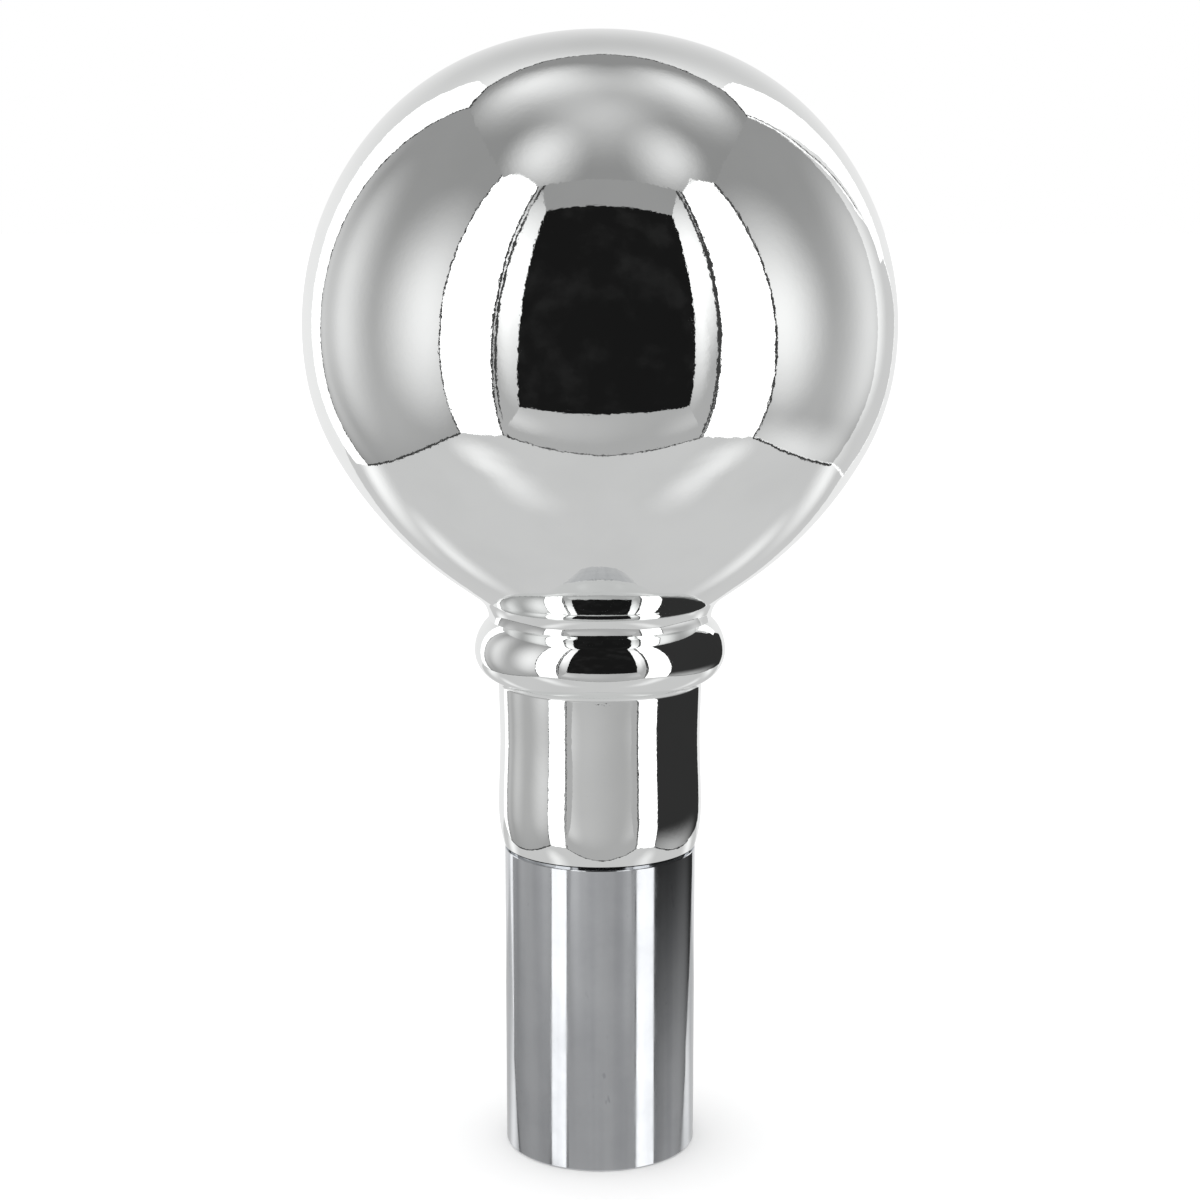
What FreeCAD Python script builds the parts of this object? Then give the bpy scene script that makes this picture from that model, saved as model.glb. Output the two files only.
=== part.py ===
"""Gooseneck hitch ball: a 3 in ball and a collar, drawn onto a 1 in shank by one hidden bolt.

All lengths are millimetres. Z runs up the axis that every piece is turned about, and Z = 0 is
the flat cut end of the shank. In every half section x is the radius and z is the height.
"""
import FreeCAD, Part
import math
import os

Vector = FreeCAD.Vector

# Overall sizes
BALL_DIAMETER = 76.2
SHANK_DIAMETER = 25.4
BALL_CENTRE_Z = 109.6

# Crown of the ball: polished a little flatter than the sphere, fading out at this radius
CROWN_FLATTENING = 0.7
CROWN_RADIUS = 27.0
CROWN_STEPS = 12

# Lower flank of the ball: each round stretch has a radius, and ends where the surface's normal
# has turned this far from straight up. The last angle carries on as a straight cone, and a hollow
# fillet leads from the cone straight down to the seat.
SPHERE_END_ANGLE = 98.0
SHOULDER_RADIUS = 30.6
SHOULDER_END_ANGLE = 118.6
FLANK_RADIUS = 49.6
CONE_ANGLE = 144.6
FOOT_FILLET = 3.7
SEAT_RADIUS = 14.6

# Collar: a rounded bead under the ball, then a waisted sleeve with a rounded lip
BEAD_RADIUS = 16.5
BEAD_ROUNDING = 5.6
BEAD_UNDERSIDE_ROUNDING = 4.0
BEAD_FILLET = 0.8
SLEEVE_TOP_RADIUS = 13.38
WAIST_RADIUS = 13.2
WAIST_Z = 56.0
BULGE_RADIUS = 13.5
BULGE_Z = 46.6
LIP_RADIUS = 12.8
COLLAR_Z = 41.3
EDGE_BREAK = 0.2

# Shank and its journal, the turned-down end that carries the collar and the ball
JOURNAL_RADIUS = 10.0
JOURNAL_TOP_Z = 80.5
JOURNAL_CHAMFER = 0.6
FIT_CLEARANCE = 0.04
REVEAL_HEIGHT = 0.35
REVEAL_DEPTH = 0.7
SHANK_EDGE_BREAK = 0.25
BOLT_HOLE_RADIUS = 5.25
COUNTERBORE_RADIUS = 9.25
SOCKET_TOP_Z = 80.8

# Seal rings, round in section, each in a square corner of the collar's bore
SEAL_SECTION = 1.1
SEAL_GROOVE_WIDTH = 1.4

# Draw bolt: M10 x 90 socket head cap screw, with its washers
THREAD_RADIUS = 5.0
THREAD_PITCH = 1.5
THREAD_DEPTH = 0.92
THREAD_LENGTH = 32.0
THREAD_FLANK_CLEARANCE = 0.06
BOLT_LENGTH = 90.0
HEAD_RADIUS = 8.0
HEAD_HEIGHT = 10.0
HEX_ACROSS_FLATS = 8.0
HEX_DEPTH = 5.0
HEAD_BOTTOM_Z = 7.0
SPRING_WASHER_THICKNESS = 2.5
SPRING_WASHER_BORE = 5.15
SPRING_WASHER_SLIT = 1.6
FLAT_WASHER_THICKNESS = 1.6
FLAT_WASHER_RADIUS = 9.0
TAPPED_HOLE_TOP_Z = 111.0
DRILL_POINT_ANGLE = 118.0

# Dowel pins between the journal's top face and the ball
DOWEL_RADIUS = 1.25
DOWEL_LENGTH = 8.0
DOWEL_CIRCLE_RADIUS = 7.75
DOWEL_Z = 76.3
DOWEL_HOLE_SLACK = 0.3

# Plug that closes the shank's counterbore, its seal and its retaining ring
RETAINING_RING_Z = 1.0
RETAINING_RING_THICKNESS = 1.0
RETAINING_GROOVE_DEPTH = 0.6
RETAINING_RING_WIDTH = 1.9
RETAINING_RING_GAP_ANGLE = 40.0
PLUG_BOTTOM_Z = 2.1
PLUG_THICKNESS = 4.0
PLUG_SEAL_SECTION = 1.3
PLUG_GROOVE_WIDTH = 1.6

# Derived sizes
BALL_RADIUS = BALL_DIAMETER / 2
TOTAL_HEIGHT = BALL_CENTRE_Z + BALL_RADIUS - CROWN_FLATTENING
CROWN_END_ANGLE = math.degrees(math.asin(CROWN_RADIUS / BALL_RADIUS))
SHANK_RADIUS = SHANK_DIAMETER / 2
COLLAR_BORE_RADIUS = JOURNAL_RADIUS + FIT_CLEARANCE
SEAL_GROOVE_RADIUS = COLLAR_BORE_RADIUS + SEAL_GROOVE_WIDTH
HEAD_TOP_Z = HEAD_BOTTOM_Z + HEAD_HEIGHT
SPRING_WASHER_TOP_Z = HEAD_TOP_Z + SPRING_WASHER_THICKNESS
COUNTERBORE_TOP_Z = SPRING_WASHER_TOP_Z + FLAT_WASHER_THICKNESS
BOLT_TIP_Z = HEAD_TOP_Z + BOLT_LENGTH
THREAD_START_Z = BOLT_TIP_Z - THREAD_LENGTH
THREAD_ROOT_RADIUS = THREAD_RADIUS - THREAD_DEPTH
TAP_DRILL_RADIUS = THREAD_ROOT_RADIUS + 0.13
TURNS_BELOW_SOCKET = math.floor((SOCKET_TOP_Z - THREAD_START_Z) / THREAD_PITCH)


class Outline:
    """The closed half section of a turned piece, drawn point by point."""

    def __init__(self, x, z):
        self.point = Vector(x, 0, z)
        self.edges = []

    def line(self, x, z):
        end = Vector(x, 0, z)
        self.edges.append(Part.LineSegment(self.point, end).toShape())
        self.point = end
        return self

    def arc(self, middle, end):
        middle = Vector(middle[0], 0, middle[1])
        end = Vector(end[0], 0, end[1])
        self.edges.append(Part.Arc(self.point, middle, end).toShape())
        self.point = end
        return self

    def bend(self, radius, start_angle, end_angle):
        """An arc whose normal turns from start_angle to end_angle, from straight up. A negative
        radius makes it hollow."""
        centre = self.point - radius * normal(start_angle)
        middle = centre + radius * normal((start_angle + end_angle) / 2)
        end = centre + radius * normal(end_angle)
        return self.arc((middle.x, middle.z), (end.x, end.z))

    def curve(self, points, start_angle=90.0, end_angle=90.0):
        """A smooth curve through the points. Its normal is at start_angle where it leaves and at
        end_angle where it arrives."""
        points = [self.point] + [Vector(x, 0, z) for x, z in points]
        spline = Part.BSplineCurve()
        spline.interpolate(Points=points, InitialTangent=normal(start_angle + 90),
                           FinalTangent=normal(end_angle + 90))
        self.edges.append(spline.toShape())
        self.point = points[-1]
        return self

    def turned(self):
        first = self.edges[0].firstVertex().Point
        self.line(first.x, first.z)
        face = Part.Face(Part.Wire(self.edges))
        return face.revolve(Vector(0, 0, 0), Vector(0, 0, 1), 360)


def normal(angle):
    """Unit vector in the half section, this many degrees from straight up."""
    radians = math.radians(angle)
    return Vector(math.sin(radians), 0, math.cos(radians))


def cylinder(radius, bottom, top, x=0.0, y=0.0):
    return Part.makeCylinder(radius, top - bottom, Vector(x, y, bottom))


def ring(outer_radius, inner_radius, bottom, top):
    return cylinder(outer_radius, bottom, top).cut(cylinder(inner_radius, bottom, top))


def torus(ring_radius, section, centre_z):
    return Part.makeTorus(ring_radius, section / 2, Vector(0, 0, centre_z))


def ball_outline():
    """The ball's outside, from its crown down to the edge of its flat seat."""
    outline = Outline(0, TOTAL_HEIGHT)
    crown = []
    for step in range(1, CROWN_STEPS + 1):
        x = CROWN_RADIUS * step / CROWN_STEPS
        flattening = CROWN_FLATTENING * (1 - (x / CROWN_RADIUS) ** 2) ** 2
        crown.append((x, BALL_CENTRE_Z + math.sqrt(BALL_RADIUS ** 2 - x ** 2) - flattening))
    outline.curve(crown, 0, CROWN_END_ANGLE)
    outline.bend(BALL_RADIUS, CROWN_END_ANGLE, SPHERE_END_ANGLE)
    outline.bend(SHOULDER_RADIUS, SPHERE_END_ANGLE, SHOULDER_END_ANGLE)
    outline.bend(FLANK_RADIUS, SHOULDER_END_ANGLE, CONE_ANGLE)
    cone_slope = math.tan(math.radians(180 - CONE_ANGLE))
    cone_end_x = SEAT_RADIUS + FOOT_FILLET * (1 - math.sin(math.radians(CONE_ANGLE)))
    cone_end_z = outline.point.z - (outline.point.x - cone_end_x) * cone_slope
    outline.line(cone_end_x, cone_end_z)
    outline.bend(-FOOT_FILLET, CONE_ANGLE, 90)
    return outline


SEAT_Z = ball_outline().point.z


def thread_ridge(root_radius, crest_radius, flank_clearance, bottom, top):
    """One helical ridge of V section, with its flanks 30 degrees off square to the axis."""
    flank = math.tan(math.radians(30))
    crest_half = THREAD_PITCH / 16 + (THREAD_RADIUS - crest_radius) * flank + flank_clearance
    root_half = crest_half + (crest_radius - root_radius) * flank
    corners = [Vector(root_radius, 0, bottom - root_half), Vector(crest_radius, 0, bottom - crest_half),
               Vector(crest_radius, 0, bottom + crest_half), Vector(root_radius, 0, bottom + root_half)]
    section = Part.Wire(Part.makePolygon(corners + corners[:1]).Edges)
    helix = Part.Wire(Part.makeHelix(THREAD_PITCH, top - bottom, root_radius).Edges)
    helix.translate(Vector(0, 0, bottom))
    return helix.makePipeShell([section], True, True)


def ball():
    outline = ball_outline()
    outline.line(0, SEAT_Z)
    body = outline.turned()
    body = body.cut(cylinder(JOURNAL_RADIUS + FIT_CLEARANCE, SEAT_Z - 1, SOCKET_TOP_Z))
    body = body.cut(cylinder(TAP_DRILL_RADIUS, SOCKET_TOP_Z - 1, TAPPED_HOLE_TOP_Z))
    point_height = TAP_DRILL_RADIUS / math.tan(math.radians(DRILL_POINT_ANGLE / 2))
    drill_point = Part.makeCone(TAP_DRILL_RADIUS, 0, point_height, Vector(0, 0, TAPPED_HOLE_TOP_Z))
    body = body.cut(drill_point)
    lead_in = Part.makeCone(THREAD_RADIUS + 0.3, TAP_DRILL_RADIUS, 1.2, Vector(0, 0, SOCKET_TOP_Z))
    body = body.cut(lead_in)
    groove_bottom = THREAD_START_Z + TURNS_BELOW_SOCKET * THREAD_PITCH
    groove = thread_ridge(TAP_DRILL_RADIUS - 0.08, THREAD_RADIUS + 0.08, THREAD_FLANK_CLEARANCE,
                          groove_bottom, TAPPED_HOLE_TOP_Z - 2)
    body = body.cut(groove)
    for side in (-1, 1):
        hole_top = DOWEL_Z + DOWEL_LENGTH + DOWEL_HOLE_SLACK
        hole = cylinder(DOWEL_RADIUS + 0.01, SOCKET_TOP_Z - 1, hole_top, side * DOWEL_CIRCLE_RADIUS)
        body = body.cut(hole)
    return body


def collar():
    """Bead and waisted sleeve in one turned piece, bored to slide over the journal."""
    start = math.degrees(math.asin((SEAT_RADIUS - BEAD_RADIUS + BEAD_ROUNDING) / BEAD_ROUNDING))
    under_x = BEAD_RADIUS - BEAD_UNDERSIDE_ROUNDING
    fillet_x = SLEEVE_TOP_RADIUS + BEAD_FILLET
    reach = BEAD_UNDERSIDE_ROUNDING + BEAD_FILLET
    end = 180 - math.degrees(math.asin((fillet_x - under_x) / reach))

    outline = Outline(COLLAR_BORE_RADIUS, SEAT_Z)
    outline.line(SEAT_RADIUS, SEAT_Z)
    outline.bend(BEAD_ROUNDING, start, 90)
    outline.bend(BEAD_UNDERSIDE_ROUNDING, 90, end)
    outline.bend(-BEAD_FILLET, end, 90)
    outline.curve([(WAIST_RADIUS, WAIST_Z), (BULGE_RADIUS, BULGE_Z)])
    lip_end_z = COLLAR_Z + EDGE_BREAK
    lip_drop = BULGE_Z - lip_end_z
    outline.arc((BULGE_RADIUS - (BULGE_RADIUS - LIP_RADIUS) / 4, BULGE_Z - lip_drop / 2), (LIP_RADIUS, lip_end_z))
    outline.line(LIP_RADIUS - EDGE_BREAK, COLLAR_Z)
    outline.line(COLLAR_BORE_RADIUS, COLLAR_Z)
    body = outline.turned()
    for bottom, top in ((SEAT_Z - SEAL_SECTION, SEAT_Z), (COLLAR_Z, COLLAR_Z + SEAL_SECTION)):
        body = body.cut(ring(SEAL_GROOVE_RADIUS, COLLAR_BORE_RADIUS - 0.5, bottom, top))
    return body


def seal_ring(centre_z):
    """A round-section ring squeezed neither way: it touches both faces of its corner."""
    return torus(COLLAR_BORE_RADIUS + SEAL_SECTION / 2, SEAL_SECTION, centre_z)


def shank():
    """Round bar with a shoulder for the collar and a hollow for the draw bolt and its plug."""
    reveal_z = COLLAR_Z - REVEAL_HEIGHT
    outline = Outline(COUNTERBORE_RADIUS, 0)
    outline.line(SHANK_RADIUS - SHANK_EDGE_BREAK, 0)
    outline.line(SHANK_RADIUS, SHANK_EDGE_BREAK)
    outline.line(SHANK_RADIUS, reveal_z)
    outline.line(SHANK_RADIUS - REVEAL_DEPTH, reveal_z)
    outline.line(SHANK_RADIUS - REVEAL_DEPTH, COLLAR_Z)
    outline.line(JOURNAL_RADIUS, COLLAR_Z)
    outline.line(JOURNAL_RADIUS, JOURNAL_TOP_Z - JOURNAL_CHAMFER)
    outline.line(JOURNAL_RADIUS - JOURNAL_CHAMFER, JOURNAL_TOP_Z)
    outline.line(BOLT_HOLE_RADIUS, JOURNAL_TOP_Z)
    outline.line(BOLT_HOLE_RADIUS, COUNTERBORE_TOP_Z)
    outline.line(COUNTERBORE_RADIUS, COUNTERBORE_TOP_Z)
    body = outline.turned()
    groove_top = RETAINING_RING_Z + RETAINING_RING_THICKNESS + 0.1
    groove = cylinder(COUNTERBORE_RADIUS + RETAINING_GROOVE_DEPTH, RETAINING_RING_Z, groove_top)
    body = body.cut(groove)
    for side in (-1, 1):
        hole_bottom = DOWEL_Z - DOWEL_HOLE_SLACK
        hole = cylinder(DOWEL_RADIUS + 0.01, hole_bottom, JOURNAL_TOP_Z + 1, side * DOWEL_CIRCLE_RADIUS)
        body = body.cut(hole)
    return body


def dowel_pins():
    pins = []
    for side in (-1, 1):
        pin = cylinder(DOWEL_RADIUS, DOWEL_Z, DOWEL_Z + DOWEL_LENGTH, side * DOWEL_CIRCLE_RADIUS)
        ends = [edge for edge in pin.Edges if edge.Curve.TypeId == "Part::GeomCircle"]
        pins.append(pin.makeChamfer(0.25, ends))
    return Part.makeCompound(pins)


def draw_bolt():
    head = cylinder(HEAD_RADIUS, HEAD_BOTTOM_Z, HEAD_TOP_Z)
    rims = [edge for edge in head.Edges if edge.Curve.TypeId == "Part::GeomCircle"]
    head = head.makeChamfer(0.5, [edge for edge in rims if edge.CenterOfMass.z < HEAD_TOP_Z - 1])
    hexagon = []
    for corner in range(7):
        angle = math.radians(60 * corner)
        reach = HEX_ACROSS_FLATS / 2 / math.cos(math.radians(30))
        hexagon.append(Vector(reach * math.cos(angle), reach * math.sin(angle), HEAD_BOTTOM_Z))
    socket = Part.Face(Part.makePolygon(hexagon)).extrude(Vector(0, 0, HEX_DEPTH))
    head = head.cut(socket)
    plain = cylinder(THREAD_RADIUS, HEAD_TOP_Z, THREAD_START_Z)
    core = cylinder(THREAD_ROOT_RADIUS, THREAD_START_Z, BOLT_TIP_Z)
    ridge = thread_ridge(THREAD_ROOT_RADIUS - 0.08, THREAD_RADIUS - 0.03, 0,
                         THREAD_START_Z, BOLT_TIP_Z - THREAD_PITCH)
    return head.fuse(plain).fuse(core).fuse(ridge)


def flat_washer():
    return ring(FLAT_WASHER_RADIUS, BOLT_HOLE_RADIUS, SPRING_WASHER_TOP_Z, COUNTERBORE_TOP_Z)


def spring_washer():
    """A split ring, drawn at its flattened height."""
    body = ring(HEAD_RADIUS, SPRING_WASHER_BORE, HEAD_TOP_Z, SPRING_WASHER_TOP_Z)
    slit = Part.makeBox(HEAD_RADIUS + 2, SPRING_WASHER_SLIT, 4 * SPRING_WASHER_THICKNESS,
                        Vector(0, -SPRING_WASHER_SLIT / 2, -2 * SPRING_WASHER_THICKNESS))
    slit.rotate(Vector(0, 0, 0), Vector(1, 0, 0), 25)
    slit.translate(Vector(0, 0, (HEAD_TOP_Z + SPRING_WASHER_TOP_Z) / 2))
    return body.cut(slit)


def end_plug():
    """Stepped disc that keeps water and dirt out of the hollow shank."""
    top = PLUG_BOTTOM_Z + PLUG_THICKNESS
    middle = (PLUG_BOTTOM_Z + top) / 2
    body = cylinder(COUNTERBORE_RADIUS - 0.05, PLUG_BOTTOM_Z, top)
    rims = [edge for edge in body.Edges if edge.Curve.TypeId == "Part::GeomCircle"]
    body = body.makeChamfer(0.3, rims)
    groove = ring(COUNTERBORE_RADIUS + 1, COUNTERBORE_RADIUS - PLUG_SEAL_SECTION,
                  middle - PLUG_GROOVE_WIDTH / 2, middle + PLUG_GROOVE_WIDTH / 2)
    return body.cut(groove)


def plug_seal_ring():
    middle = PLUG_BOTTOM_Z + PLUG_THICKNESS / 2
    return torus(COUNTERBORE_RADIUS - PLUG_SEAL_SECTION / 2, PLUG_SEAL_SECTION, middle)


def retaining_ring():
    """Internal snap ring with an open gap and two lugs, each with a hole for the pliers."""
    top = RETAINING_RING_Z + RETAINING_RING_THICKNESS
    outer = COUNTERBORE_RADIUS + RETAINING_GROOVE_DEPTH - 0.05
    body = ring(outer, outer - RETAINING_RING_WIDTH, RETAINING_RING_Z, top)
    half_gap = math.radians(RETAINING_RING_GAP_ANGLE / 2)
    reach = 2 * outer
    corner = Vector(reach * math.cos(half_gap), reach * math.sin(half_gap), RETAINING_RING_Z)
    mirrored = Vector(corner.x, -corner.y, corner.z)
    centre = Vector(0, 0, RETAINING_RING_Z)
    gap = Part.Face(Part.makePolygon([centre, mirrored, corner, centre]))
    body = body.cut(gap.extrude(Vector(0, 0, RETAINING_RING_THICKNESS)))
    lug_radius = 1.7
    lug_distance = outer - RETAINING_RING_WIDTH
    for side in (-1, 1):
        angle = side * (half_gap + 0.24)
        x = lug_distance * math.cos(angle)
        y = lug_distance * math.sin(angle)
        lug = cylinder(lug_radius, RETAINING_RING_Z, top, x, y)
        body = body.fuse(lug).cut(cylinder(0.8, RETAINING_RING_Z - 1, top + 1, x, y))
    return body


def build():
    return {
        "ball": ball(),
        "collar": collar(),
        "shank": shank(),
        "upper_seal_ring": seal_ring(SEAT_Z - SEAL_SECTION / 2),
        "lower_seal_ring": seal_ring(COLLAR_Z + SEAL_SECTION / 2),
        "dowel_pins": dowel_pins(),
        "draw_bolt": draw_bolt(),
        "flat_washer": flat_washer(),
        "spring_washer": spring_washer(),
        "end_plug": end_plug(),
        "plug_seal_ring": plug_seal_ring(),
        "retaining_ring": retaining_ring(),
    }


os.makedirs("parts", exist_ok=True)
for node, shape in build().items():
    shape.exportStep("parts/" + node + ".step")
    print(node, "solids", len(shape.Solids), "valid", shape.isValid(), "volume", round(shape.Volume, 1))
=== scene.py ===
"""Looks of the gooseneck hitch ball: mirror chrome over a duller drawn shank, in a white light tent.

Lengths are metres in the part's own frame. MM turns the drawing's millimetres into metres.
"""
import math

import bpy
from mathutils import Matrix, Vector

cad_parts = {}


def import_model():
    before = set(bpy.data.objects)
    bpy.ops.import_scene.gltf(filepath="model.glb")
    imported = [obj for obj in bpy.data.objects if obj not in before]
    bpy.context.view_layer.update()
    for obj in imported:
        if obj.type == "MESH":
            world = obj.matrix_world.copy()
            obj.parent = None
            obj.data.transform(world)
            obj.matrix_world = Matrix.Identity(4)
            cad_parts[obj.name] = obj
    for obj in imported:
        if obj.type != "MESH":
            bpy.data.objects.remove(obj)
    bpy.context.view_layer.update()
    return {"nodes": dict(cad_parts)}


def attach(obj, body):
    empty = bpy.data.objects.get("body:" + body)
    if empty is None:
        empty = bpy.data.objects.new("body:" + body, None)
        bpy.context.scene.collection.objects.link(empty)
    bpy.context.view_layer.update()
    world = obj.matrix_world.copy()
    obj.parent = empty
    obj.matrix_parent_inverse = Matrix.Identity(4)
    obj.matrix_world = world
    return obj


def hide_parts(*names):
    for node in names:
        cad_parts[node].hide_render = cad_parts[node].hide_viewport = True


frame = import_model()
NODES = frame["nodes"]
MM = 0.001

# Turned surfaces: facets around the axis, and degrees from one point of an arc to the next
SEGMENTS = 288
ARC_STEP = 1.5

# Sizes that the outlines share with the drawing, in millimetres and degrees
BALL_RADIUS, BALL_CENTRE_Z = 38.08, 109.6
CROWN_FLATTENING, CROWN_RADIUS = 0.7, 27.0
SPHERE_END, SHOULDER_END, CONE_ANGLE = 98.0, 118.6, 144.6
SHOULDER_RADIUS, FLANK_RADIUS, FOOT_FILLET = 30.6, 49.6, 3.7
SEAT_RADIUS = 14.6
BEAD_RADIUS, BEAD_ROUNDING, BEAD_UNDERSIDE, BEAD_FILLET = 16.5, 5.6, 4.0, 0.8
SLEEVE_TOP, WAIST, BULGE, LIP = 13.38, 13.24, 13.49, 12.8
WAIST_Z, BULGE_Z, COLLAR_Z = 56.0, 46.6, 41.3
SHANK_RADIUS, JOURNAL_RADIUS, JOURNAL_TOP_Z = 12.7, 10.0, 80.5
JOURNAL_CHAMFER, SHANK_EDGE_BREAK, REVEAL_EDGE_BREAK, LIP_EDGE_BREAK = 0.6, 0.25, 0.08, 0.2
BORE_RADIUS = 10.04
REVEAL_DEPTH, REVEAL_HEIGHT = 0.7, 0.35
SOCKET_TOP_Z, TAPPED_TOP_Z, TAP_RADIUS = 80.8, 111.0, 4.21
LEAD_IN_WIDTH, LEAD_IN_HEIGHT, DRILL_POINT_HALF_ANGLE = 1.1, 1.2, 59
SEAL_GROOVE_RADIUS, SEAL_GROOVE_DEPTH = 11.44, 1.1
BOLT_HOLE_RADIUS, COUNTERBORE_RADIUS, COUNTERBORE_TOP_Z = 5.25, 9.25, 21.1
SNAP_GROOVE = (9.85, 1.0, 2.1)


# ---------------------------------------------------------------- turned pieces

class Outline:
    """Half section of a turned piece as (radius, height) points in millimetres."""

    def __init__(self, radius, height):
        self.points = [(radius, height)]

    def line(self, radius, height):
        self.points.append((radius, height))
        return self

    def bend(self, arc_radius, start, end):
        """An arc whose outward normal turns from start to end, in degrees from straight up. A negative
        radius makes it hollow."""
        radius, height = self.points[-1]
        steps = max(2, math.ceil(abs(end - start) / ARC_STEP))
        first = math.radians(start)
        for step in range(1, steps + 1):
            angle = math.radians(start + (end - start) * step / steps)
            self.points.append((radius + arc_radius * (math.sin(angle) - math.sin(first)),
                                height + arc_radius * (math.cos(angle) - math.cos(first))))
        return self

    def ease(self, radius, height, steps=16):
        """A smooth step to a new radius that leaves and arrives running straight down."""
        start_radius, start_height = self.points[-1]
        for step in range(1, steps + 1):
            t = step / steps
            share = t * t * (3 - 2 * t)
            self.points.append((start_radius + (radius - start_radius) * share,
                                start_height + (height - start_height) * t))
        return self


def turned(name, outline, closed):
    """Closed solid of revolution. closed joins the last point to the first; else both lie on the axis."""
    verts, rings = [], []
    for radius, height in outline.points:
        count = 1 if radius < 1e-6 else SEGMENTS
        rings.append([len(verts) + i for i in range(count)])
        for i in range(count):
            angle = 2 * math.pi * i / SEGMENTS
            verts.append((radius * MM * math.cos(angle), radius * MM * math.sin(angle), height * MM))
    pairs = list(zip(rings, rings[1:]))
    if closed:
        pairs.append((rings[-1], rings[0]))
    faces = []
    for upper, lower in pairs:
        for i in range(SEGMENTS):
            j = (i + 1) % SEGMENTS
            corners = [upper[i % len(upper)], lower[i % len(lower)],
                       lower[j % len(lower)], upper[j % len(upper)]]
            faces.append(list(dict.fromkeys(corners)))
    mesh = bpy.data.meshes.new(name)
    mesh.from_pydata(verts, [], faces)
    mesh.validate()
    mesh.shade_smooth()
    mesh.set_sharp_from_angle(angle=math.radians(25))
    piece = bpy.data.objects.new(name, mesh)
    bpy.context.scene.collection.objects.link(piece)
    return piece


def ball_outline():
    """From the slightly flattened crown over the sphere and down the flank to the edge of the seat."""
    outline = Outline(0, BALL_CENTRE_Z + BALL_RADIUS - CROWN_FLATTENING)
    crown_end = math.degrees(math.asin(CROWN_RADIUS / BALL_RADIUS))
    steps = math.ceil(crown_end / ARC_STEP)
    for step in range(1, steps + 1):
        angle = math.radians(crown_end * step / steps)
        radius = BALL_RADIUS * math.sin(angle)
        flattening = CROWN_FLATTENING * (1 - (radius / CROWN_RADIUS) ** 2) ** 2
        outline.line(radius, BALL_CENTRE_Z + BALL_RADIUS * math.cos(angle) - flattening)
    outline.bend(BALL_RADIUS, crown_end, SPHERE_END)
    outline.bend(SHOULDER_RADIUS, SPHERE_END, SHOULDER_END)
    outline.bend(FLANK_RADIUS, SHOULDER_END, CONE_ANGLE)
    radius, height = outline.points[-1]
    cone_end = SEAT_RADIUS + FOOT_FILLET * (1 - math.sin(math.radians(CONE_ANGLE)))
    outline.line(cone_end, height - (radius - cone_end) * math.tan(math.radians(180 - CONE_ANGLE)))
    return outline.bend(-FOOT_FILLET, CONE_ANGLE, 90)


SEAT_Z = ball_outline().points[-1][1]


def make_ball():
    """The ball with its socket and its bolt hole. The thread and the dowel holes, hidden, are left out."""
    outline = ball_outline()
    outline.line(BORE_RADIUS, SEAT_Z).line(BORE_RADIUS, SOCKET_TOP_Z)
    outline.line(TAP_RADIUS + LEAD_IN_WIDTH, SOCKET_TOP_Z).line(TAP_RADIUS, SOCKET_TOP_Z + LEAD_IN_HEIGHT)
    outline.line(TAP_RADIUS, TAPPED_TOP_Z)
    outline.line(0, TAPPED_TOP_Z + TAP_RADIUS / math.tan(math.radians(DRILL_POINT_HALF_ANGLE)))
    return turned("chrome_ball", outline, closed=False)


def make_collar():
    """Bead and waisted sleeve in one turned piece, with a groove for a seal at each end of its bore."""
    start = math.degrees(math.asin((SEAT_RADIUS - BEAD_RADIUS + BEAD_ROUNDING) / BEAD_ROUNDING))
    fillet_reach = SLEEVE_TOP + BEAD_FILLET - BEAD_RADIUS + BEAD_UNDERSIDE
    end = 180 - math.degrees(math.asin(fillet_reach / (BEAD_UNDERSIDE + BEAD_FILLET)))
    outline = Outline(BORE_RADIUS, COLLAR_Z + SEAL_GROOVE_DEPTH)
    outline.line(BORE_RADIUS, SEAT_Z - SEAL_GROOVE_DEPTH)
    outline.line(SEAL_GROOVE_RADIUS, SEAT_Z - SEAL_GROOVE_DEPTH).line(SEAL_GROOVE_RADIUS, SEAT_Z)
    outline.line(SEAT_RADIUS, SEAT_Z)
    outline.bend(BEAD_ROUNDING, start, 90)
    outline.bend(BEAD_UNDERSIDE, 90, end)
    outline.bend(-BEAD_FILLET, end, 90)
    outline.ease(WAIST, WAIST_Z).ease(BULGE, BULGE_Z, 24)
    lip_height = BULGE_Z - COLLAR_Z - LIP_EDGE_BREAK
    lip_arc = (lip_height ** 2 + (BULGE - LIP) ** 2) / 2 / (BULGE - LIP)
    outline.bend(lip_arc, 90, 90 + math.degrees(math.asin(lip_height / lip_arc)))
    outline.line(LIP - LIP_EDGE_BREAK, COLLAR_Z)
    outline.line(SEAL_GROOVE_RADIUS, COLLAR_Z).line(SEAL_GROOVE_RADIUS, COLLAR_Z + SEAL_GROOVE_DEPTH)
    return turned("chrome_collar", outline, closed=True)


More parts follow.
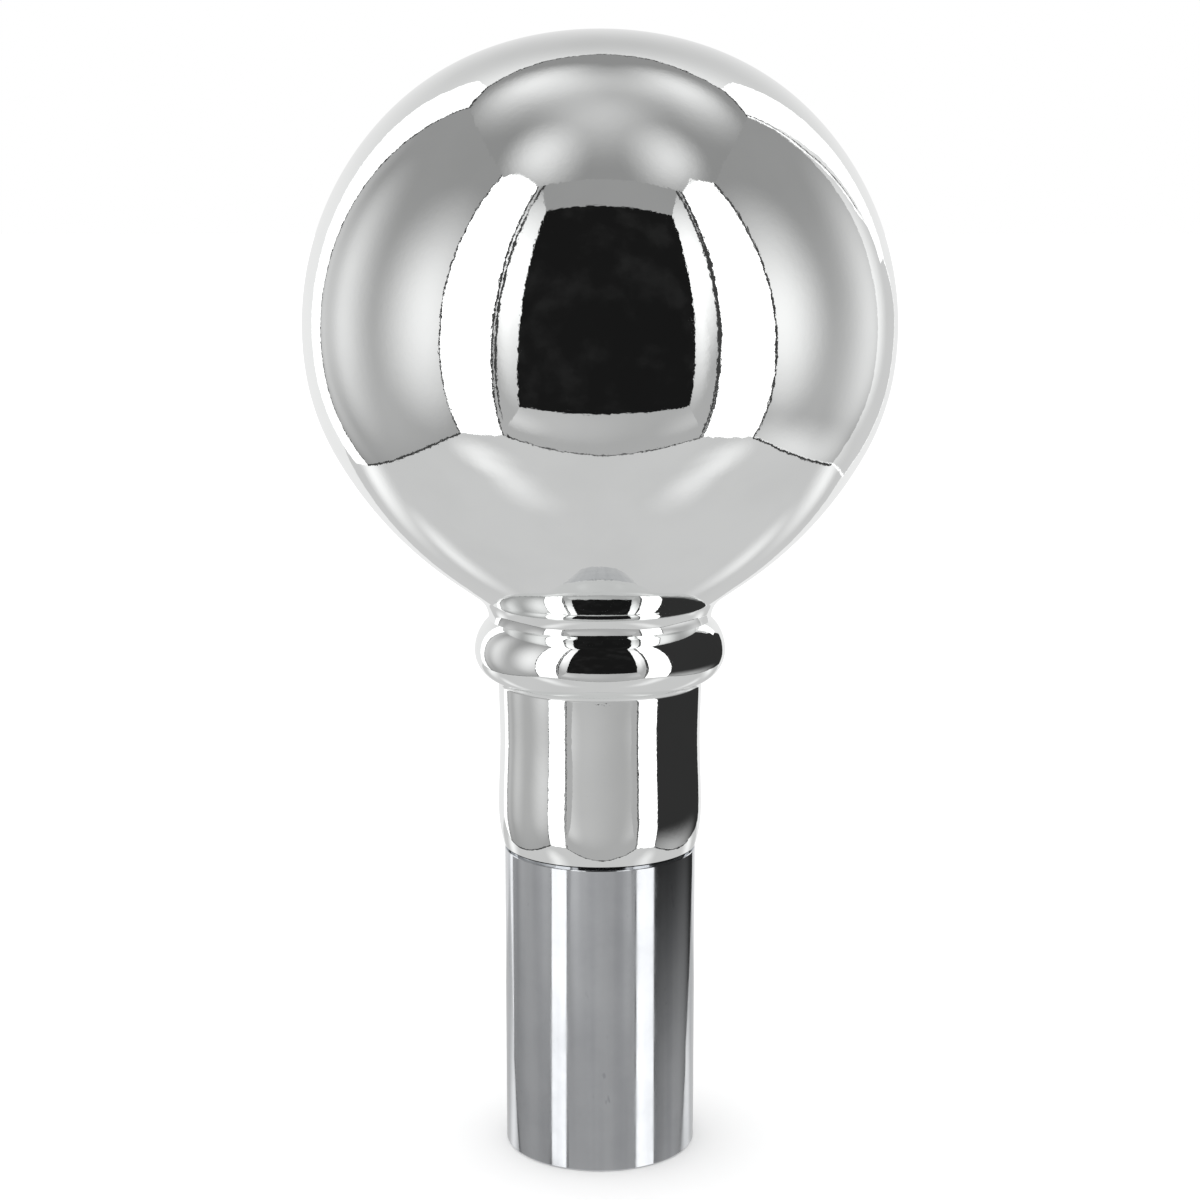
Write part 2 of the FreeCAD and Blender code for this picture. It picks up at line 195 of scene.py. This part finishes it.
def make_shank():
    """Bar with its journal, bolt hole and counterbore, and the thin gap under the collar's lip. Its dowel
    holes, hidden, are left out."""
    snap_radius, snap_bottom, snap_top = SNAP_GROOVE
    reveal_z = COLLAR_Z - REVEAL_HEIGHT
    outline = Outline(COUNTERBORE_RADIUS, snap_top)
    outline.line(COUNTERBORE_RADIUS, COUNTERBORE_TOP_Z).line(BOLT_HOLE_RADIUS, COUNTERBORE_TOP_Z)
    outline.line(BOLT_HOLE_RADIUS, JOURNAL_TOP_Z).line(JOURNAL_RADIUS - JOURNAL_CHAMFER, JOURNAL_TOP_Z)
    outline.line(JOURNAL_RADIUS, JOURNAL_TOP_Z - JOURNAL_CHAMFER).line(JOURNAL_RADIUS, COLLAR_Z)
    outline.line(SHANK_RADIUS - REVEAL_DEPTH, COLLAR_Z).line(SHANK_RADIUS - REVEAL_DEPTH, reveal_z)
    outline.line(SHANK_RADIUS - REVEAL_EDGE_BREAK, reveal_z)
    outline.line(SHANK_RADIUS, reveal_z - REVEAL_EDGE_BREAK)
    outline.line(SHANK_RADIUS, SHANK_EDGE_BREAK).line(SHANK_RADIUS - SHANK_EDGE_BREAK, 0)
    outline.line(COUNTERBORE_RADIUS, 0).line(COUNTERBORE_RADIUS, snap_bottom)
    outline.line(snap_radius, snap_bottom).line(snap_radius, snap_top)
    return turned("drawn_shank", outline, closed=True)


# ---------------------------------------------------------------- materials

class Shader:
    """A node material with a few short helpers."""

    def __init__(self, name):
        self.material = bpy.data.materials.new(name)
        self.material.use_nodes = True
        self.tree = self.material.node_tree
        self.tree.nodes.clear()
        self.output = self.tree.nodes.new("ShaderNodeOutputMaterial")

    def node(self, kind, **settings):
        made = self.tree.nodes.new(kind)
        for key, value in settings.items():
            setattr(made, key, value)
        return made

    def link(self, source, target):
        self.tree.links.new(source, target)

    def place(self, stretch=(1, 1, 1)):
        """Position on the piece, in metres, stretched along each axis."""
        coordinates = self.node("ShaderNodeTexCoord")
        mapping = self.node("ShaderNodeMapping")
        mapping.inputs["Scale"].default_value = stretch
        self.link(coordinates.outputs["Object"], mapping.inputs["Vector"])
        return mapping.outputs["Vector"]

    def noise(self, scale, detail=3.0, roughness=0.5, stretch=(1, 1, 1)):
        texture = self.node("ShaderNodeTexNoise")
        texture.inputs["Scale"].default_value = scale
        texture.inputs["Detail"].default_value = detail
        texture.inputs["Roughness"].default_value = roughness
        self.link(self.place(stretch), texture.inputs["Vector"])
        return texture.outputs["Fac"]

    def remap(self, value, low, high, to_low, to_high):
        made = self.node("ShaderNodeMapRange", interpolation_type="SMOOTHSTEP")
        self.link(value, made.inputs["Value"])
        for key, number in (("From Min", low), ("From Max", high), ("To Min", to_low), ("To Max", to_high)):
            made.inputs[key].default_value = number
        return made.outputs["Result"]

    def math(self, operation, first, second):
        made = self.node("ShaderNodeMath", operation=operation)
        for socket, value in zip(made.inputs, (first, second)):
            if isinstance(value, (int, float)):
                socket.default_value = value
            else:
                self.link(value, socket)
        return made.outputs["Value"]

    def blend(self, share, first, second):
        made = self.node("ShaderNodeMix", data_type="RGBA")
        self.link(share, made.inputs["Factor"])
        made.inputs["A"].default_value = (*first, 1)
        made.inputs["B"].default_value = (*second, 1)
        return made.outputs["Result"]

    def bump(self, height, depth, below=None):
        """Raises the surface by depth metres where height is 1."""
        made = self.node("ShaderNodeBump")
        made.inputs["Strength"].default_value = 1.0
        made.inputs["Distance"].default_value = depth
        self.link(height, made.inputs["Height"])
        if below is not None:
            self.link(below, made.inputs["Normal"])
        return made.outputs["Normal"]

    def finish(self, colour, roughness, normal, metallic=1.0):
        surface = self.node("ShaderNodeBsdfPrincipled")
        surface.inputs["Metallic"].default_value = metallic
        for key, value in (("Base Color", colour), ("Roughness", roughness), ("Normal", normal)):
            if value is not None:
                self.link(value, surface.inputs[key])
        self.link(surface.outputs["BSDF"], self.output.inputs["Surface"])
        return self.material


def mirror_chrome():
    """Chrome plate: a faint orange peel, polishing haze, and a few hairline scratches round the piece."""
    shader = Shader("mirror_chrome")
    haze = shader.noise(90, 4)
    scratches = shader.noise(420, 2, stretch=(0.25, 0.25, 9))
    fine = shader.remap(scratches, 0.7, 0.78, 0, 1)
    colour = shader.blend(shader.remap(haze, 0.35, 0.7, 0, 1), (0.955, 0.965, 0.96), (0.915, 0.925, 0.92))
    roughness = shader.math("ADD", shader.remap(haze, 0.4, 0.75, 0.012, 0.03),
                            shader.math("MULTIPLY", fine, 0.05))
    peel = shader.bump(shader.noise(1100, 3), 5e-6)
    ripple = shader.bump(shader.noise(140, 1), 1.6e-5, peel)
    normal = shader.bump(fine, 4e-7, ripple)
    return shader.finish(colour, roughness, normal)


def drawn_steel():
    """Bright drawn bar: lengthwise die marks, cloudy handling smudges, and a few darker specks."""
    shader = Shader("drawn_steel")
    marks = shader.noise(1500, 3, stretch=(1, 1, 0.02))
    broad = shader.noise(380, 2, stretch=(1, 1, 0.03))
    smudge = shader.noise(110, 5, 0.6)
    speck = shader.remap(shader.noise(900, 2, stretch=(1, 1, 0.4)), 0.7, 0.78, 0, 1)
    tone = shader.math("ADD", shader.math("MULTIPLY", broad, 0.6), shader.math("MULTIPLY", smudge, 0.4))
    tone = shader.math("ADD", tone, shader.math("MULTIPLY", speck, 0.25))
    colour = shader.blend(shader.remap(tone, 0.35, 0.7, 0, 1), (0.72, 0.735, 0.755), (0.58, 0.595, 0.62))
    roughness = shader.math("ADD", shader.remap(smudge, 0.35, 0.7, 0.04, 0.10),
                            shader.math("MULTIPLY", marks, 0.05))
    grain = shader.bump(marks, 3e-6)
    normal = shader.bump(broad, 4e-6, grain)
    return shader.finish(colour, roughness, normal)


def plated_steel(name, light, dark, rough_low, rough_high):
    """Small hardware: turned or stamped steel with a plated or blackened skin, worn in patches."""
    shader = Shader(name)
    patches = shader.noise(260, 5, 0.6)
    turning = shader.noise(2600, 2, stretch=(0.1, 0.1, 1))
    colour = shader.blend(shader.remap(patches, 0.38, 0.68, 0, 1), light, dark)
    roughness = shader.remap(patches, 0.3, 0.75, rough_low, rough_high)
    normal = shader.bump(turning, 8e-6, shader.bump(patches, 1.5e-5))
    return shader.finish(colour, roughness, normal)


def black_rubber():
    """Moulded seal ring: soft black with a fine matte grain and a little bloom."""
    shader = Shader("seal_rubber")
    bloom = shader.noise(400, 4)
    grain = shader.noise(5200, 2)
    colour = shader.blend(shader.remap(bloom, 0.45, 0.75, 0, 1), (0.018, 0.018, 0.019), (0.045, 0.045, 0.047))
    roughness = shader.remap(bloom, 0.3, 0.7, 0.5, 0.72)
    return shader.finish(colour, roughness, shader.bump(grain, 1.2e-5), metallic=0.0)


def dress_pieces():
    """Puts the three finer pieces in place of their nodes, and a material on every piece. Returns the
    finer pieces by node."""
    made = {}
    chrome, steel = mirror_chrome(), drawn_steel()
    for piece, node, slot, material in ((make_ball(), "ball", "mirror_chrome", chrome),
                                        (make_collar(), "collar", "mirror_chrome", chrome),
                                        (make_shank(), "shank", "drawn_steel", steel)):
        piece.data.materials.append(material)
        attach(piece, "root")
        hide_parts(node)
        made[node] = piece
    zinc = plated_steel("zinc_steel", (0.66, 0.68, 0.71), (0.47, 0.49, 0.53), 0.22, 0.42)
    black = plated_steel("black_oxide_steel", (0.05, 0.05, 0.055), (0.028, 0.028, 0.03), 0.3, 0.5)
    ground = plated_steel("ground_steel", (0.7, 0.7, 0.7), (0.56, 0.56, 0.57), 0.12, 0.26)
    rubber = black_rubber()
    finishes = {"draw_bolt": black, "retaining_ring": black, "flat_washer": zinc, "spring_washer": zinc,
                "end_plug": zinc, "dowel_pins": ground, "upper_seal_ring": rubber, "lower_seal_ring": rubber,
                "plug_seal_ring": rubber}
    for node, material in finishes.items():
        for slot in NODES[node].material_slots:
            slot.material = material
    return made


# ---------------------------------------------------------------- studio

# The tent's upright edges as (top, bottom), from its front round to its back, in millimetres
HOLE_LEFT, HOLE_RIGHT = ((-67, -160, 263), (-87, -160, 30)), ((93, -160, 263), (100, -160, 28))
CARD_LEFT, CARD_RIGHT = ((-93, -160, 345), (-228, -266, -153)), ((128, -160, 345), (256, -266, -170))
STRIP_LEFT, STRIP_RIGHT = ((-275, -195, 570), (-378, -216, -186)), ((283, -163, 510), (426, -163, -208))
WALL_LEFT, WALL_RIGHT = ((-380, 258, 745), (-456, 382, -214)), ((380, 238, 645), (456, 360, -208))
HOLE_FOOT, CARD_FOOT = (4, -160, 29), (7, -266, -182)

# The right wall runs on behind the part in a flap, whose upper edge falls away
RIGHT_FLAP = [(380, 238, 640), (400, 290, 416), (413, 375, 273), (422, 600, 177), (428, 790, 101),
              (460, 790, -234), (456, 360, -208)]

# The roof rises from the card towards the back. Its outline as (x, y), from the front's left corner
ROOF_FRONT_Y, ROOF_FRONT_Z, ROOF_SLOPE = -160, 335, 0.657
ROOF_OUTLINE = [(-94, -161), (0, -161), (130, -166), (145, -132), (198, -119), (211, -72), (281, 86),
                (334, 206), (288, 322), (215, 365), (120, 440), (0, 480), (-120, 425), (-243, 285),
                (-267, 174), (-226, 51), (-180, -67), (-156, -124), (-124, -129)]
ROOF_REAR = slice(7, 15)

BACKDROP_Y, UNDERSIDE_Z, SHEET_HALF = 800, -260, 1500

# Strengths of light
CARD_LIGHT, STRIP_LIGHT, BACK_LIGHT, ROD_LIGHT = 0.42, 1.5, 1.3, 0.05

# A spot's reach along an axis on which it doesn't fade
EVEN = 1000

# How far the right wall's glow and its rods stand inside it
GLOW_GAP, ROD_GAP = 6, 9


def glow_material(name, strength, spots=(), clear=False, mottle=0):
    """Even light of one strength, plus soft spots, each (centre, reach, extra) in millimetres. clear lets
    what is behind shine through, and mottle adds up to that much light in cloudy patches."""
    shader = Shader(name)
    total = strength
    if mottle:
        total = shader.math("ADD", shader.remap(shader.noise(22, 5), 0.45, 0.75, 0, mottle), total)
    for centre, reach, extra in spots:
        coordinates = shader.node("ShaderNodeTexCoord")
        mapping = shader.node("ShaderNodeMapping", vector_type="POINT")
        mapping.inputs["Location"].default_value = [-c / r for c, r in zip(centre, reach)]
        mapping.inputs["Scale"].default_value = [1 / (r * MM) for r in reach]
        shader.link(coordinates.outputs["Object"], mapping.inputs["Vector"])
        distance = shader.node("ShaderNodeVectorMath", operation="LENGTH")
        shader.link(mapping.outputs["Vector"], distance.inputs[0])
        total = shader.math("ADD", shader.remap(distance.outputs["Value"], 0, 1, extra, 0), total)
    light = shader.node("ShaderNodeEmission")
    if isinstance(total, (int, float)):
        light.inputs["Strength"].default_value = total
    else:
        shader.link(total, light.inputs["Strength"])
    surface = light.outputs["Emission"]
    if clear:
        both = shader.node("ShaderNodeAddShader")
        shader.link(surface, both.inputs[0])
        shader.link(shader.node("ShaderNodeBsdfTransparent").outputs["BSDF"], both.inputs[1])
        surface = both.outputs["Shader"]
    shader.link(surface, shader.output.inputs["Surface"])
    return shader.material


def only_reflected(obj):
    """The tent shows in the chrome and nowhere else, so that it never stands in a view's way."""
    for ray in ("camera", "diffuse", "transmission", "volume_scatter", "shadow"):
        setattr(obj, "visible_" + ray, False)


def panel(name, corners, strength, spots=(), seen_by=None, mottle=0):
    """Sheet of the light tent, from its corners in order, in millimetres. With seen_by, a clear sheet
    whose glow reaches only those pieces."""
    mesh = bpy.data.meshes.new(name)
    mesh.from_pydata([[c * MM for c in corner] for corner in corners], [], [list(range(len(corners)))])
    mesh.materials.append(glow_material(name, strength, spots, clear=seen_by is not None, mottle=mottle))
    sheet = bpy.data.objects.new(name, mesh)
    bpy.context.scene.collection.objects.link(sheet)
    if seen_by is not None:
        receivers = bpy.data.collections.new(name + "_receivers")
        for piece in seen_by:
            receivers.objects.link(piece)
        sheet.light_linking.receiver_collection = receivers
    only_reflected(sheet)


def rod(name, points, radius, material):
    """Dark rod of the tent's frame."""
    curve = bpy.data.curves.new(name, "CURVE")
    curve.dimensions = "3D"
    curve.bevel_depth = radius * MM
    line = curve.splines.new("POLY")
    line.points.add(len(points) - 1)
    for target, point in zip(line.points, points):
        target.co = (*[c * MM for c in point], 1)
    curve.materials.append(material)
    made = bpy.data.objects.new(name, curve)
    bpy.context.scene.collection.objects.link(made)
    only_reflected(made)


def inside(points, gap):
    """The same points, moved that far from the right wall towards the part."""
    return [(x - gap, y, z) for x, y, z in points]


def front_card():
    """Grey card with the camera's dark opening in it, tilted away below, and a bright strip either side."""
    panel("opening", [(-95, -200, 330), (-130, -200, -10), (145, -200, -10), (130, -200, 330)], 0.009,
          mottle=0.008)
    panel("card_over", [CARD_LEFT[0], HOLE_LEFT[0], HOLE_RIGHT[0], CARD_RIGHT[0]], 0.31)
    low_shine = ((-50, -175, 0), (130, 120, 120), 0.09)
    panel("card_under_left", [HOLE_LEFT[1], CARD_LEFT[1], CARD_FOOT, HOLE_FOOT], CARD_LIGHT,
          [((-120, -170, -20), (70, 80, 90), 0.2), low_shine])
    panel("card_under_right", [HOLE_FOOT, CARD_FOOT, CARD_RIGHT[1], HOLE_RIGHT[1]], CARD_LIGHT,
          [((135, -170, -30), (70, 80, 90), 0.12), low_shine])
    panel("card_left", [CARD_LEFT[0], CARD_LEFT[1], HOLE_LEFT[1], HOLE_LEFT[0]], CARD_LIGHT,
          [((-112, -165, 175), (120, 80, 170), 0.9)])
    panel("card_right", [HOLE_RIGHT[0], HOLE_RIGHT[1], CARD_RIGHT[1], CARD_RIGHT[0]], CARD_LIGHT,
          [((130, -165, 175), (120, 80, 180), 0.9)])
    panel("strip_left", [CARD_LEFT[0], STRIP_LEFT[0], STRIP_LEFT[1], CARD_LEFT[1]], STRIP_LIGHT)
    panel("strip_right", [STRIP_RIGHT[0], CARD_RIGHT[0], CARD_RIGHT[1], STRIP_RIGHT[1]], STRIP_LIGHT)


def side_walls(ball):
    """Grey walls, lighter near their upright edges. The right one is nearly black in the collar and the
    shank and grey in the ball, so its glow is a sheet of its own that reaches the ball only."""
    panel("wall_left", [STRIP_LEFT[0], WALL_LEFT[0], WALL_LEFT[1], STRIP_LEFT[1]], 0.30,
          [((-380, -165, 150), (EVEN, 175, 330), 0.55), ((-380, 130, 150), (EVEN, 150, 310), 0.40),
           ((-380, 300, 150), (EVEN, 130, 420), 0.3), ((-380, 0, 0), (EVEN, 500, 420), 0.14)])
    glow_spots = [((380, -150, 150), (EVEN, 180, 330), 0.6), ((380, 0, 0), (EVEN, 500, 420), 0.14),
                  ((380, 250, 110), (EVEN, 230, 360), 0.42)]
    wall_right = [WALL_RIGHT[0], STRIP_RIGHT[0], STRIP_RIGHT[1], WALL_RIGHT[1]]
    for name, corners, glow in (("wall_right", wall_right, 0.27), ("wall_right_flap", RIGHT_FLAP, 0.58)):
        panel(name, corners, 0.03, [((380, 60, -200), (EVEN, 500, 130), 0.4)])
        panel(name + "_glow", inside(corners, GLOW_GAP), glow, glow_spots, seen_by=[ball])


def roof_and_surroundings():
    """Roof with soft lamps behind it, two bright back panels, the backdrop and the tent's underside."""
    roof = [(x, y, ROOF_FRONT_Z + ROOF_SLOPE * (y - ROOF_FRONT_Y)) for x, y in ROOF_OUTLINE]
    panel("roof", roof, 0.28,
          [((-90, -112, 366), (85, 80, EVEN), 0.52), ((106, -110, 367), (85, 80, EVEN), 0.48),
           ((-110, 130, 511), (170, 190, EVEN), 0.58), ((145, 130, 517), (170, 190, EVEN), 0.55),
           ((0, 40, 470), (130, 130, EVEN), 0.19), ((0, -55, 405), (140, 95, EVEN), 0.24)])
    panel("back_left", [WALL_LEFT[0], (-292, 347, 727), (-245, 380, 598), (-266, 373, 412), (-311, 355, 169),
                        (-310, 353, -100), WALL_LEFT[1]], BACK_LIGHT)
    panel("back_right", [WALL_RIGHT[0], (303, 350, 700), (250, 400, 560), (290, 460, 300), (360, 520, 172),
                         (360, 400, 172)], BACK_LIGHT)
    panel("backdrop", [(-SHEET_HALF, BACKDROP_Y, -450), (SHEET_HALF, BACKDROP_Y, -450),
                       (SHEET_HALF, BACKDROP_Y, 2500), (-SHEET_HALF, BACKDROP_Y, 2500)], 0.85,
          [((0, BACKDROP_Y, 800), (1300, EVEN, 700), -0.28)])
    floor_spots = [((-330, -205), (170, 95), 0.3), ((340, -185), (170, 95), 0.26),
                   ((-230, -165), (130, 60), 0.2), ((235, -150), (130, 60), 0.18),
                   ((-160, -130), (110, 55), 0.14), ((175, -122), (110, 55), 0.12),
                   ((-480, 430), (260, 190), 0.42), ((-240, 280), (150, 90), 0.3),
                   ((480, 450), (260, 190), 0.38), ((240, 300), (150, 90), 0.26)]
    panel("underside", [(-SHEET_HALF, -900, UNDERSIDE_Z), (SHEET_HALF, -900, UNDERSIDE_Z),
                        (SHEET_HALF, BACKDROP_Y, UNDERSIDE_Z), (-SHEET_HALF, BACKDROP_Y, UNDERSIDE_Z)], 0.59,
          [((*centre, UNDERSIDE_Z), (*reach, EVEN), extra) for centre, reach, extra in floor_spots])
    return roof


def tent_rods(roof):
    """Thin dark frame along the tent's edges."""
    dark = glow_material("tent_rod", ROD_LIGHT)
    rod("rod_card_left", CARD_LEFT, 2.8, dark)
    rod("rod_card_right", CARD_RIGHT, 2.8, dark)
    rod("rod_card_left_inner", [(-84, -158, 330), (-120, -176, 150), (-205, -255, -148)], 2, dark)
    rod("rod_card_right_inner", [(119, -158, 330), (150, -176, 150), (236, -255, -162)], 2, dark)
    rod("rod_card_foot", [CARD_LEFT[1], CARD_FOOT, CARD_RIGHT[1]], 2.6, dark)
    rod("rod_strip_left", STRIP_LEFT, 3.4, dark)
    rod("rod_strip_right", inside(STRIP_RIGHT, ROD_GAP), 3.4, dark)
    rod("rod_wall_left", [STRIP_LEFT[1], WALL_LEFT[1], WALL_LEFT[0]], 4, dark)
    rod("rod_wall_right", inside((STRIP_RIGHT[1], WALL_RIGHT[1]), ROD_GAP), 3.4, dark)
    rod("rod_wall_right_top", inside(RIGHT_FLAP[:3], 2 * ROD_GAP), 2.6, dark)
    rod("rod_roof_back", roof[ROOF_REAR], 4, dark)


def light_tent(ball):
    """White tent round the part, open towards the camera."""
    front_card()
    side_walls(ball)
    roof = roof_and_surroundings()
    tent_rods(roof)


def floor():
    """Plain pale floor, far larger than any view. The chrome sees the tent's underside in its place."""
    half = 12.0
    mesh = bpy.data.meshes.new("floor")
    corners = [(-half, -half, 0), (half, -half, 0), (half, half, 0), (-half, half, 0)]
    mesh.from_pydata(corners, [], [(0, 1, 2, 3)])
    shader = Shader("pale_floor")
    tone = shader.remap(shader.noise(6, 3), 0.3, 0.7, 0, 1)
    colour = shader.blend(tone, (0.90, 0.90, 0.90), (0.885, 0.885, 0.885))
    material = shader.finish(colour, None, None, metallic=0.0)
    shader.tree.nodes["Principled BSDF"].inputs["Roughness"].default_value = 0.9
    shader.tree.nodes["Principled BSDF"].inputs["Specular IOR Level"].default_value = 0.0
    mesh.materials.append(material)
    made = bpy.data.objects.new("floor", mesh)
    bpy.context.scene.collection.objects.link(made)
    made.visible_glossy = False


def lights():
    """One very broad overhead light for the floor. The chrome reflects the tent instead."""
    lamp = bpy.data.lights.new("soft_overhead", "SUN")
    lamp.energy = 1.35
    lamp.angle = math.radians(120)
    made = bpy.data.objects.new("soft_overhead", lamp)
    made.rotation_euler = (math.radians(8), math.radians(-6), 0)
    made.visible_glossy = False
    bpy.context.scene.collection.objects.link(made)


def world():
    """Plain white, behind the part and wherever its reflections look past the tent's panels."""
    made = bpy.data.worlds.new("studio")
    made.use_nodes = True
    background = made.node_tree.nodes["Background"]
    background.inputs["Color"].default_value = (1, 1, 1, 1)
    background.inputs["Strength"].default_value = 1.0
    bpy.context.scene.world = made


def camera():
    """A little above the part, looking down about ten degrees, from close enough to show perspective."""
    pitch, distance, target = math.radians(9.77), 0.2965, Vector((0, 0, 74.1 * MM))
    lens = bpy.data.cameras.new("camera")
    lens.sensor_width = 36
    lens.lens = 67.7
    lens.clip_start = 0.01
    made = bpy.data.objects.new("camera", lens)
    made.location = target + distance * Vector((0, -math.cos(pitch), math.sin(pitch)))
    made.rotation_euler = (math.pi / 2 - pitch, 0, 0)
    bpy.context.scene.collection.objects.link(made)
    bpy.context.scene.camera = made


camera()
pieces = dress_pieces()
light_tent(pieces["ball"])
floor()
lights()
world()
bpy.context.scene.view_settings.view_transform = "Standard"
bpy.context.scene.view_settings.look = "None"
